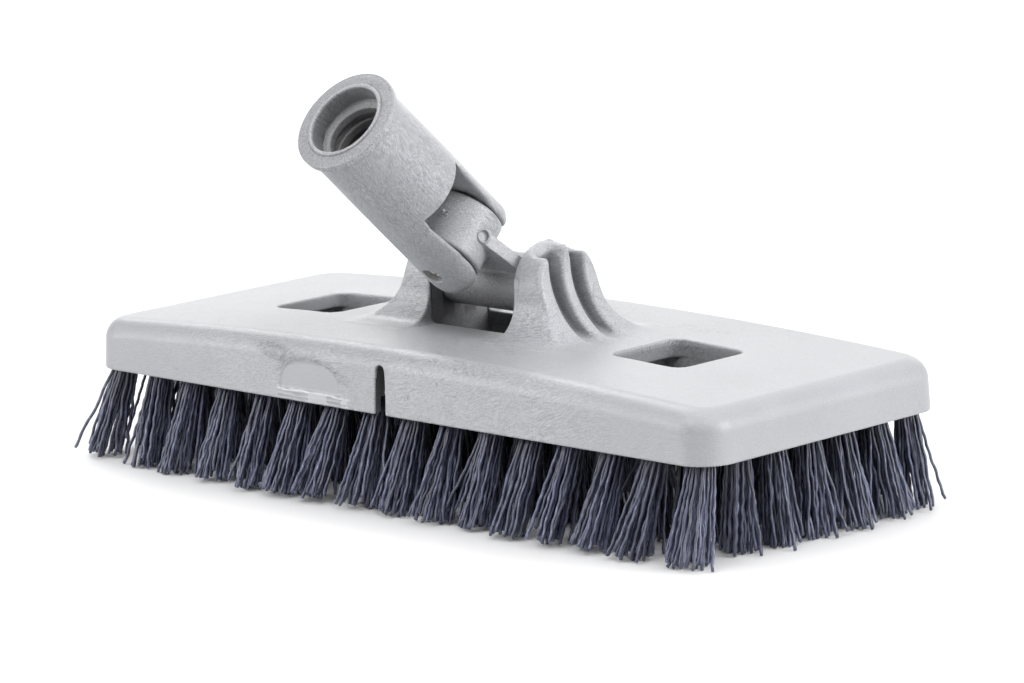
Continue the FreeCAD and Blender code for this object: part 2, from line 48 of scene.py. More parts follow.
EX = np.array([1.0, 0.0, 0.0])


def to_row(v):
    return (v + SHIFT) * 0.001


# ------------------------------------------------------------------ distance-field tools
def rmax(a, b, r):
    """Intersection with the edge rounded to radius r."""
    return np.minimum(np.maximum(a, b), -r) + np.hypot(np.maximum(a + r, 0), np.maximum(b + r, 0))


def rmin(a, b, r):
    """Union with the inner corner filled to radius r."""
    return np.maximum(np.minimum(a, b), r) - np.hypot(np.maximum(r - a, 0), np.maximum(r - b, 0))


def rrect(x, y, hx, hy, r):
    qx, qy = np.abs(x) - hx + r, np.abs(y) - hy + r
    return np.hypot(np.maximum(qx, 0), np.maximum(qy, 0)) + np.minimum(np.maximum(qx, qy), 0) - r


def step01(a, b, x):
    t = np.clip((x - a) / (b - a), 0, 1)
    return t * t * (3 - 2 * t)


def seg2(px, py, ax, ay, bx, by):
    """Distance in the plane to a line segment."""
    vx, vy = bx - ax, by - ay
    t = np.clip(((px - ax) * vx + (py - ay) * vy) / (vx * vx + vy * vy), 0, 1)
    return np.hypot(px - ax - t * vx, py - ay - t * vy)


def surface_nets(f, origin, h):
    """Closed quad mesh of the zero level of f, sampled on a grid."""
    s = f < 0
    n0, n1, n2 = f.shape
    cnt = np.zeros((n0 - 1, n1 - 1, n2 - 1), np.uint8)
    corners = [(a, b, c) for a in (0, 1) for b in (0, 1) for c in (0, 1)]
    for a, b, c in corners:
        cnt += s[a : n0 - 1 + a, b : n1 - 1 + b, c : n2 - 1 + c]
    active = (cnt > 0) & (cnt < 8)
    cells = np.argwhere(active)
    index = np.full(active.shape, -1, np.int64)
    index[active] = np.arange(len(cells))
    acc = np.zeros((len(cells), 3))
    num = np.zeros(len(cells))
    i, j, k = cells.T
    for a in corners:
        for ax in range(3):
            if a[ax]:
                continue
            b = list(a)
            b[ax] = 1
            fa = f[i + a[0], j + a[1], k + a[2]].astype(float)
            fb = f[i + b[0], j + b[1], k + b[2]].astype(float)
            m = (fa < 0) != (fb < 0)
            t = np.where(m, fa / np.where(m, fa - fb, 1), 0)
            pos = np.tile(np.array(a, float), (len(cells), 1))
            pos[:, ax] += t
            acc[m] += pos[m]
            num[m] += 1
    verts = origin + h * (cells + acc / num[:, None])
    quads = []
    for ax in range(3):
        lo = [slice(None)] * 3
        hi = [slice(None)] * 3
        lo[ax], hi[ax] = slice(0, -1), slice(1, None)
        cross = s[tuple(lo)] != s[tuple(hi)]
        e = np.argwhere(cross)
        u, v = [(1, 2), (2, 0), (0, 1)][ax]
        ok = (e[:, u] > 0) & (e[:, u] < f.shape[u] - 1) & (e[:, v] > 0) & (e[:, v] < f.shape[v] - 1)
        e = e[ok]
        ring = []
        for du, dv in ((-1, -1), (0, -1), (0, 0), (-1, 0)):
            c = e.copy()
            c[:, u] += du
            c[:, v] += dv
            ring.append(index[c[:, 0], c[:, 1], c[:, 2]])
        q = np.stack(ring, 1)
        inside_low = s[e[:, 0], e[:, 1], e[:, 2]]
        q[~inside_low] = q[~inside_low][:, ::-1]
        quads.append(q)
    return verts, np.concatenate(quads)


def gradient(fn, v, eps):
    g = np.empty_like(v)
    for a in range(3):
        d = np.zeros(3)
        d[a] = eps
        g[:, a] = fn(v + d) - fn(v - d)
    return g / (2 * eps)


def settle(fn, v, h, rounds=3):
    """Moves mesh points onto the exact surface."""
    for _ in range(rounds):
        g = gradient(fn, v, 0.02)
        g2 = np.maximum((g * g).sum(1), 0.2)
        mv = -(fn(v) / g2)[:, None] * g
        n = np.linalg.norm(mv, axis=1, keepdims=True)
        v = v + mv * np.minimum(1, 0.5 * h / np.maximum(n, 1e-9))
    return v


def sample(fn, lo, hi, h):
    lo, hi = np.array(lo, float), np.array(hi, float)
    n = np.ceil((hi - lo) / h).astype(int) + 1
    ys, zs = lo[1] + h * np.arange(n[1]), lo[2] + h * np.arange(n[2])
    f = np.empty(tuple(n), np.float32)
    slab = max(1, int(400000 / (n[1] * n[2])))
    for i0 in range(0, n[0], slab):
        xs = lo[0] + h * np.arange(i0, min(n[0], i0 + slab))
        g = np.stack(np.meshgrid(xs, ys, zs, indexing="ij"), -1).reshape(-1, 3)
        f[i0 : i0 + len(xs)] = fn(g).reshape(len(xs), n[1], n[2])
    return f, lo


def new_object(name, mesh, body):
    o = bpy.data.objects.new(name, mesh)
    bpy.context.scene.collection.objects.link(o)
    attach(o, body)
    return o


def mesh_from(name, verts, faces):
    me = bpy.data.meshes.new(name)
    faces = np.asarray(faces)
    me.vertices.add(len(verts))
    me.vertices.foreach_set("co", np.asarray(verts, np.float32).ravel())
    k = faces.shape[1]
    me.loops.add(faces.size)
    me.loops.foreach_set("vertex_index", faces.astype(np.int32).ravel())
    me.polygons.add(len(faces))
    me.polygons.foreach_set("loop_start", np.arange(0, faces.size, k, dtype=np.int32))
    me.update(calc_edges=True)
    me.validate()
    return me


def solid(name, fn, lo, hi, h, faces_wanted, place, body, replaced):
    """Moulded piece: mesh of a distance field, thinned where flat, with its exact normals."""
    f, origin = sample(fn, lo, hi, h)
    v, q = surface_nets(f, origin, h)
    v = settle(fn, v, h)
    me = mesh_from(name, v, q)
    if len(q) * 2 > faces_wanted:
        tmp = bpy.data.objects.new("tmp", me)
        bpy.context.scene.collection.objects.link(tmp)
        mod = tmp.modifiers.new("thin", "DECIMATE")
        mod.ratio = faces_wanted / (len(q) * 2.0)
        dg = bpy.context.evaluated_depsgraph_get()
        me2 = bpy.data.meshes.new_from_object(tmp.evaluated_get(dg))
        bpy.data.objects.remove(tmp)
        bpy.data.meshes.remove(me)
        me = me2
        me.name = name
    n = len(me.vertices)
    v = np.empty(n * 3, np.float32)
    me.vertices.foreach_get("co", v)
    v = settle(fn, v.reshape(-1, 3).astype(float), h, 2)
    g = gradient(fn, v, 0.12)
    g /= np.maximum(np.linalg.norm(g, axis=1, keepdims=True), 1e-9)
    w, gn = place(v, g)
    me.vertices.foreach_set("co", (w * 0.001).astype(np.float32).ravel())
    me.polygons.foreach_set("use_smooth", np.ones(len(me.polygons), bool))
    me.update()
    me.normals_split_custom_set_from_vertices(gn.astype(np.float32))
    o = new_object(name, me, body)
    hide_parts(*replaced)
    return o


# ------------------------------------------------------------------ tuft layout (as in the CAD)
COLS, ROWS, PX, PY = 16, 7, 15.5, 14.2
LEAN_X, LEAN_Y = math.tan(math.radians(13.0)), math.tan(math.radians(12.0))


def tuft_at(i, j):
    x, y = (i - 7.5) * PX, (j - 3) * PY
    wall = 4.3
    if abs(abs(x) - 69.0) < 13.8 + wall and abs(y) < 14.6 + wall:
        return None
    if abs(x) < 17 + wall and abs(y) < 11.7 + wall:
        return None
    lx = LEAN_X * (-1 if i == 0 else 1 if i == COLS - 1 else 0)
    ly = LEAN_Y * (-1 if j == 0 else 1 if j == ROWS - 1 else 0)
    return x, y, lx, ly


def row_of(i, j):
    if j == 0:
        return "front_row"
    if j == ROWS - 1:
        return "back_row"
    if i == 0:
        return "left_end"
    if i == COLS - 1:
        return "right_end"
    return ("second_front", "inner_front", "centre_row", "inner_back", "second_back")[j - 1]


TUFT = {(i, j): tuft_at(i, j) for i in range(COLS) for j in range(ROWS)}
HAS = np.array([[TUFT[i, j] is not None for j in range(ROWS)] for i in range(COLS)])


# ------------------------------------------------------------------ block
def block_field(p):
    x, y, z = p[:, 0], p[:, 1], p[:, 2]
    ax, ay = np.abs(x), np.abs(y)
    t = math.tan(math.radians(2.0))
    side = rrect(x, y, 125.0 - t * z, 50.8 - t * z, 10.6) * math.cos(math.radians(2.0))
    # trimmed gate: a shallow lens pressed into the front skirt, with a torn strip along its foot
    gx, gz = x + 29.6, z
    front = step01(-40, -48, y)
    lens = (np.abs(gx / 12.6) ** 2.7 + (np.maximum(gz - 3.6, 0) / 8.7) ** 2.7) ** (1 / 2.7) - 1.0
    lens = np.maximum(lens, (2.6 - gz) / 8.0)
    side = side + front * 0.20 * step01(0.0, -0.06, lens)
    ends = step01(15.2, 12.6, np.abs(gx - 0.8)) * step01(0.3, -0.3, np.abs(gz - 2.0) - 1.9)
    ragged = 0.10 * np.sin(gx * 0.9 + 1.0) + 0.07 * np.sin(gx * 0.37 + 2.0)
    side = side - front * ends * (0.20 + ragged)
    top = z - (19.2 - x * x / 3600.0)
    d = rmax(side, top, 6.0)
    d = rmax(d, -z, 0.45)
    # hollow inside the skirt
    d = rmax(d, -np.maximum(rrect(x, y, 121.5, 47.3, 4.5), z - 4.5), 0.35)
    # windows, undercut below a thinner lip
    for s in (1, -1):
        wx = x - s * 69.0
        w = rrect(wx, y, 13.8 - 0.02 * (19 - z), 14.6 - 0.02 * (19 - z), 4.4)
        d = rmax(d, -np.maximum(rrect(wx, y, 17.8, 14.2, 2.4), z - 12.8), 0.3)
        d = rmax(d, -w, 0.5)
    # pedestals
    outer = 22.9 - np.hypot(ax - 49.9, z - 40.0)
    arch = np.hypot(y, np.maximum(z - 32.6, 0)) - 12.6
    flare = np.maximum(np.maximum(11.0 - np.hypot(ay - 23.6, z - 29.5), ay - 23.6), z - 29.5)
    ped = np.minimum(arch, flare)
    ped = rmax(ped, outer, 1.5)
    ped = np.maximum(np.maximum(ped, ax - 49.8), 8.0 - z)
    groove = rmax(np.hypot(ax - 46.5, z - 40.5) - 25.0, np.abs(ay - 4.5) - 2.45, 1.2)
    ped = rmax(ped, -groove, 1.25 + 2.2 * step01(39.5, 44.5, z))
    ped = rmax(ped, 17.0 - ax, 0.7)
    d = rmin(d, ped, 1.6)
    # central well and the shut-off step on the pedestals' inner faces
    d = rmax(d, -rrect(x, y, 17.0, 11.7, 1.2), 0.45)
    d = np.maximum(d, -np.maximum(np.maximum(ax - 17.22, ay - 11.75), np.abs(z - 26.0) - 18.0))
    # blind axle holes
    d = np.maximum(d, -np.maximum(np.hypot(y, z - 32.0) - 3.05, ax - 20.6))
    # slots in the middle of the front and back skirt
    nx = np.abs(x + 0.6)
    half = 2.15 - 0.035 * z
    slot = np.maximum(np.where(z < 12.7, nx - half, np.hypot(nx, z - 12.7) - 1.705), 36.8 - ay)
    d = rmax(d, -slot, 0.3)
    relief = np.maximum(np.maximum(nx - 2.9, z - 15.4), np.maximum(36.8 - ay, ay - 49.7 + t * z))
    d = np.maximum(d, -relief)
    # small nub left by an ejector on the right pedestal
    nub = np.hypot(np.hypot((x - 19.0) / 1.5, (y - 1.2) / 1.1), (z - 44.9) / 0.75) - 1.0
    d = np.where(np.abs(x - 19.0) < 6, rmin(d, nub * 0.75, 0.2), d)
    # tuft holes
    i = np.clip(np.rint(x / PX + 7.5), 0, COLS - 1).astype(int)
    j = np.clip(np.rint(y / PY + 3), 0, ROWS - 1).astype(int)
    lx = LEAN_X * ((i == COLS - 1) * 1.0 - (i == 0))
    ly = LEAN_Y * ((j == ROWS - 1) * 1.0 - (j == 0))
    hx = (i - 7.5) * PX - lx * (z - 4.5)
    hy = (j - 3) * PY - ly * (z - 4.5)
    hole = np.maximum(np.hypot(x - hx, y - hy) - 3.45, z - 8.0)
    d = np.where(HAS[i, j] & (z < 9.5), rmax(d, -hole, 0.3), d)
    return d


def block_place(v, g):
    return v + SHIFT, g


# ------------------------------------------------------------------ swivel cross
# Local frame: X along the lower axle, Y along the upper pin, Z from the lower pivot to the upper one.
def cross_field(p):
    x, y, z = p[:, 0], p[:, 1], p[:, 2]
    ax, ay = np.abs(x), np.abs(y)
    zz = z - 24.3
    low = rmax(np.hypot(y, z) - 8.7, ax - 16.7, 0.7)
    up = rmax(np.hypot(x, zz) - 11.3, ay - 8.0, 0.9)
    nx, nz = 0.952, 0.306
    bx, bz = 11.7, 24.8
    slope = (ax - bx) * nx + (z - bz) * nz
    outline = np.maximum(np.maximum(ax - 16.7, slope), np.maximum(z - 27.6, -z))
    # round boss at the head of each shoulder, with the ejector's mark in it
    along = -(ax - bx) * nz + (z - bz) * nx
    web = rmax(np.maximum(outline, along), ay - 2.0, 0.35)
    r = np.hypot(along, ay)
    boss = rmax(r - 2.15, np.abs(slope + 3.0) - 3.35, 0.3)
    d = rmin(low, up, 1.0)
    d = rmin(d, web, 0.7)
    d = rmin(d, boss, 0.25)
    mark = rmax(r - 1.62, -slope - 0.75, 0.2)
    d = rmax(d, -mark, 0.18)
    d = np.maximum(d, 3.08 - np.hypot(y, z))
    d = np.maximum(d, 3.08 - np.hypot(x, zz))
    # torn gate on top of the upper barrel
    for bx, by, bz, lx, ly in ((3.9, -0.2, 10.75, 1.15, 0.42), (4.5, 0.65, 10.35, 0.75, 0.36), (2.9, 0.75, 11.0, 0.55, 0.5), (3.2, -1.0, 10.95, 0.7, 0.3)):
        blob = np.sqrt(((x - bx) / lx) ** 2 + ((y - by) / ly) ** 2 + ((zz - bz) / 0.6) ** 2) - 1.0
        d = rmin(d, blob * 0.4, 0.08)
    return d


def cross_place(v, g):
    f = lambda a: a[:, :1] * EX + a[:, 1:2] * E2 + a[:, 2:] * DD
    return f(v) + P1 + SHIFT, f(g)


# ------------------------------------------------------------------ handle socket
# Local frame about the upper pin: Z along the tube, Y along the pin.
def socket_field(p):
    x, y, z = p[:, 0], p[:, 1], p[:, 2]
    r = np.hypot(x, y)
    tube = 15.2 - 0.2 * np.clip((z - 23.0) / 32.0, 0, 1)
    d = rmax(r - tube, z - 57.35, 0.35)
    bead = rmax(rmax(r - 16.25, z - 57.4, 0.4), 55.0 - z, 0.6)
    d = rmin(d, bead, 0.5)
    # thin raised ring round the mouth
    ring = rmax(np.abs(r - 11.65) - 0.62, np.maximum(z - 58.0, 55.0 - z), 0.25)
    d = rmin(d, ring, 0.10)
    # arm ends: round about the pin, and softened on the outside
    nose = np.hypot(x, np.minimum(z - 1.4, 0)) - 12.75 - 7.0 * step01(1.4, 13.0, z)
    d = rmax(d, nose, 4.0)
    # fork slot, its long edges softer than the end of the tube
    slot = np.maximum((np.abs(y) - 8.5 - 1.4 * np.clip(z / 23.0, 0, 1)) * 0.995, z - 23.0)
    d = rmax(d, -slot, 0.55 + 1.3 * step01(22.5, 18.0, z))
    # pin holes
    d = rmax(d, 3.03 - np.hypot(x, z), 0.3)
    # mouth: lead-in bore, step, thread
    d = rmax(d, -np.maximum(r - 11.1, 51.6 - z), 0.3)
    turn = np.arctan2(y, x) / (2 * math.pi) * 5.0
    ph = np.mod(z - turn + 2.5, 5.0) - 2.5
    groove = step01(1.35, 0.5, np.abs(ph)) * step01(30.6, 31.6, z)
    wall = 9.3 + 1.6 * groove + np.clip(z - 50.9, 0, 0.8) * 0.9
    bore = np.maximum(np.maximum((r - wall) * 0.8, 28.6 - z), z - 52.2)
    d = np.maximum(d, -bore)
    return d


def socket_place(v, g):
    f = lambda a: a[:, :1] * EX + a[:, 1:2] * E2 + a[:, 2:] * DD
    return f(v) + P2 + SHIFT, f(g)


block = solid("moulded_block", block_field, (-127, -53, -1.5), (127, 53, 47), 0.62, 190000, block_place, "block", ["brush_block"])
cross = solid("moulded_cross", cross_field, (-18, -14, -10.5), (18, 14, 38.5), 0.36, 90000, cross_place, "cross", ["swivel_cross"])
socket = solid("moulded_socket", socket_field, (-17.5, -17.5, -15), (17.5, 17.5, 60), 0.36, 150000, socket_place, "socket", ["handle_socket"])


# ------------------------------------------------------------------ bristles
SIDES = 5


def filament_mesh(paths, radii):
    """Tubes along many paths at once. paths: (n, m, 3); radii: (n, m)."""
    n, m, _ = paths.shape
    tan = np.empty_like(paths)
    tan[:, 1:-1] = paths[:, 2:] - paths[:, :-2]
    tan[:, 0] = paths[:, 1] - paths[:, 0]
    tan[:, -1] = paths[:, -1] - paths[:, -2]
    tan /= np.linalg.norm(tan, axis=2, keepdims=True)
    ref = np.zeros_like(tan)
    ref[..., 0] = 1.0
    a = np.cross(tan, ref)
    a /= np.linalg.norm(a, axis=2, keepdims=True)
    b = np.cross(tan, a)
    ang = 2 * math.pi * np.arange(SIDES) / SIDES
    ring = a[:, :, None] * np.cos(ang)[None, None, :, None] + b[:, :, None] * np.sin(ang)[None, None, :, None]
    v = paths[:, :, None] + ring * radii[:, :, None, None]
    cap = (paths[:, -1] + tan[:, -1] * radii[:, -1:, None][:, 0] * 0.45)
    cap0 = paths[:, 0]
    per = m * SIDES
    verts = np.concatenate([v.reshape(n, per, 3), cap[:, None], cap0[:, None]], 1)
    faces = []
    for k in range(m - 1):
        for s in range(SIDES):
            s2 = (s + 1) % SIDES
            q = (k * SIDES + s, k * SIDES + s2, (k + 1) * SIDES + s2, (k + 1) * SIDES + s)
            faces.append((q[0], q[1], q[2]))
            faces.append((q[0], q[2], q[3]))
    for s in range(SIDES):
        s2 = (s + 1) % SIDES
        faces.append(((m - 1) * SIDES + s, (m - 1) * SIDES + s2, per))
        faces.append((s2, s, per + 1))
    faces = np.array(faces)
    allf = (faces[None] + (np.arange(n) * (per + 2))[:, None, None]).reshape(-1, 3)
    return verts.reshape(-1, 3), allf


def tuft_paths(rng, x, y, lx, ly, count, seg):
    """Crimped filaments of one tuft: packed at the hole, splaying towards the floor, all cut to one length."""
    t = np.linspace(0, 1, seg)
    root = np.array([x, y, 4.5])
    k = np.arange(count) + 0.5
    rad = np.sqrt(k / count)
    ang = k * 2.399963 + rng.uniform(0, 6.28)
    disc = np.stack([rad * np.cos(ang), rad * np.sin(ang)], 1) + rng.normal(0, 0.06, (count, 2))
    spread = rng.uniform(5.6, 6.8) * rng.uniform(0.80, 1.12, count)
    lean = np.array([lx, ly]) * rng.uniform(0.92, 1.12) + rng.normal(0, 0.04, 2) + np.array([-0.035, -0.03])
    stray = rng.random(count) < 0.07
    bend = rng.normal(0, 0.042, (count, 2)) + rng.normal(0, 0.11, (count, 2)) * stray[:, None]
    # overall slope of each filament, and how far down its tip comes
    slope = lean + bend + disc * (spread[:, None] - 2.75) / 32.5
    length = 34.5 - rng.uniform(0, 0.8) - np.abs(rng.normal(0, 1.35, count))
    drop = np.minimum(length / np.sqrt(1 + (slope ** 2).sum(1)), 32.3 - 0.3 * rng.random(count))
    depth = -3.0 + (drop[:, None] + 3.0) * t[None]
    up = np.clip(depth / 32.5, 0, 1)
    path = np.empty((count, seg, 3))
    path[..., 2] = root[2] - depth
    grow = 2.75 + (spread[:, None] - 2.75) * up ** 0.80
    for a in range(2):
        path[..., a] = root[a] + lean[a] * depth + disc[:, a : a + 1] * grow + bend[:, a : a + 1] * 32.5 * up ** 1.7
    # crimp: each filament keeps its own plane, pitch and phase
    loose = np.clip(0.15 + 1.6 * up, 0, 1)
    ph = rng.uniform(0, 6.28, (count, 1))
    pl = rng.uniform(0, 6.28, (count, 1))
    wl = rng.uniform(3.9, 5.2, (count, 1))
    wave = rng.uniform(0.10, 0.21, (count, 1)) * loose * np.sin(2 * math.pi * depth / wl + ph + 0.8 * np.sin(depth * 0.31 + ph * 2))
    sl = rng.uniform(9.0, 15.0, (count, 1))
    slow = rng.uniform(0.12, 0.36, (count, 1)) * loose * np.sin(2 * math.pi * depth / sl + ph * 3)
    path[..., 0] += wave * np.cos(pl) + slow * np.sin(pl)
    path[..., 1] += wave * np.sin(pl) - slow * np.cos(pl)
    # keep clear of the skirt's inner wall
    near = path[..., 2] > -1.0
    path[..., 0] = np.where(near, np.clip(path[..., 0], -120.7, 120.7), path[..., 0])
    path[..., 1] = np.where(near, np.clip(path[..., 1], -46.5, 46.5), path[..., 1])
    r = rng.uniform(0.46, 0.54, (count, 1)) * (1 + 0.06 * np.sin(depth * 3.1 + ph * 5))
    path[..., 2] = np.maximum(path[..., 2], -27.75)
    return path, r


ROW_ORDER = ("front_row", "second_front", "inner_front", "centre_row", "inner_back", "second_back", "back_row", "left_end", "right_end")
PER_TUFT = 36
SEG = 27
bristles = []
for n_row, row in enumerate(ROW_ORDER):
    rng = np.random.default_rng(7100 + n_row)
    paths, radii = [], []
    for (i, j), spot in TUFT.items():
        if spot is None or row_of(i, j) != row:
            continue
        x, y, lx, ly = spot
        if i == COLS - 1 and j == ROWS - 1:
            lx, ly = lx * 0.72, ly * 0.5
        elif i == COLS - 1 and j == 0:
            lx, ly = lx * 0.40, ly * 1.2
        elif i == COLS - 1:
            lx *= 0.20 + 0.14 * j
        elif j in (0, ROWS - 1):
            # the long rows bow outwards between the corners
            ly *= 1.0 + 0.5 * min(1.0, min(i, COLS - 1 - i) / 3.0)
        p, r = tuft_paths(rng, x, y, lx, ly, PER_TUFT, SEG)
        paths.append(p)
        radii.append(r)
    v, f = filament_mesh(np.concatenate(paths), np.concatenate(radii))
    me = mesh_from("bristles_" + row, to_row(v), f)
    me.polygons.foreach_set("use_smooth", np.ones(len(me.polygons), bool))
    # each filament has its own shade
    per = SEG * SIDES + 2
    shade = me.attributes.new("shade", "FLOAT", "POINT")
    shade.data.foreach_set("value", np.repeat(rng.uniform(0.62, 1.38, len(v) // per), per).astype(np.float32))
    o = new_object("bristles_" + row, me, "block")
    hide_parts("tufts_" + row)
    bristles.append(o)


# ------------------------------------------------------------------ materials
class Mat:
    """Small helper to lay out a procedural material."""

    def __init__(self, name):
        self.m = bpy.data.materials.new(name)
        self.m.use_nodes = True
        self.t = self.m.node_tree
        self.p = self.t.nodes["Principled BSDF"]
        self.co = self.t.nodes.new("ShaderNodeTexCoord").outputs["Object"]

    def node(self, kind, **kw):
        n = self.t.nodes.new(kind)
        for k, v in kw.items():
            if k.startswith("in_"):
                n.inputs[k[3:].replace("_", " ")].default_value = v
            else:
                setattr(n, k, v)
        return n

    def link(self, a, b):
        self.t.links.new(a, b)

    def mapped(self, scale=(1, 1, 1), rot=(0, 0, 0), loc=(0, 0, 0), src=None):
        n = self.node("ShaderNodeMapping")
        n.inputs["Scale"].default_value = scale
        n.inputs["Rotation"].default_value = rot
        n.inputs["Location"].default_value = loc
        self.link(src or self.co, n.inputs["Vector"])
        return n.outputs["Vector"]

    def noise(self, vec, scale, detail=2.0, rough=0.5, dist=0.0):
        n = self.node("ShaderNodeTexNoise")
        n.inputs["Scale"].default_value = scale
        n.inputs["Detail"].default_value = detail
        n.inputs["Roughness"].default_value = rough
        n.inputs["Distortion"].default_value = dist
        self.link(vec, n.inputs["Vector"])
        return n.outputs["Fac"], n.outputs["Color"]

    def ramp(self, fac, stops, interp="LINEAR"):
        n = self.node("ShaderNodeValToRGB")
        n.color_ramp.interpolation = interp
        el = n.color_ramp.elements
        while len(el) < len(stops):
            el.new(0.5)
        for e, (pos, col) in zip(el, stops):
            e.position = pos
            e.color = (*col, 1) if len(col) == 3 else col
        self.link(fac, n.inputs["Fac"])
        return n.outputs["Color"]

    def mix(self, a, b, fac, mode="MIX"):
        n = self.node("ShaderNodeMix", data_type="RGBA", blend_type=mode)
        for val, key in ((fac, 0), (a, 6), (b, 7)):
            if hasattr(val, "is_linked"):
                self.link(val, n.inputs[key])
            else:
                n.inputs[key].default_value = val if key == 0 else (*val, 1)
        return n.outputs[2]

    def math(self, op, a, b=None, c=None):
        n = self.node("ShaderNodeMath", operation=op)
        for k, val in enumerate((a, b, c)):
            if val is None:
                continue
            if hasattr(val, "is_linked"):
                self.link(val, n.inputs[k])
            else:
                n.inputs[k].default_value = val
        return n.outputs[0]

    def bump(self, height, strength, distance, prev=None):
        n = self.node("ShaderNodeBump")
        n.inputs["Strength"].default_value = strength
        n.inputs["Distance"].default_value = distance
        self.link(height, n.inputs["Height"])
        if prev is not None:
            self.link(prev, n.inputs["Normal"])
        return n.outputs["Normal"]


def grey(k, blue=1.045):
    return (k * 0.985, k * 0.995, k * blue)


def span(m, val, lo, hi, a=0.0, b=1.0):
    """val taken from lo..hi to a..b, smoothly and clamped."""
    n = m.node("ShaderNodeMapRange", interpolation_type="SMOOTHSTEP")
    for key, x in (("From Min", lo), ("From Max", hi), ("To Min", a), ("To Max", b)):
        n.inputs[key].default_value = x
    m.link(val, n.inputs["Value"])
    return n.outputs[0]


def axes(m, vec, dirs, scales):
    """Coordinates along three chosen directions, each with its own scale."""
    out = m.node("ShaderNodeCombineXYZ")
    for k, (d, sc) in enumerate(zip(dirs, scales)):
        n = m.node("ShaderNodeVectorMath", operation="DOT_PRODUCT")
        m.link(vec, n.inputs[0])
        n.inputs[1].default_value = tuple(float(c) * sc for c in d)
        m.link(n.outputs["Value"], out.inputs[k])
    return out.outputs[0]


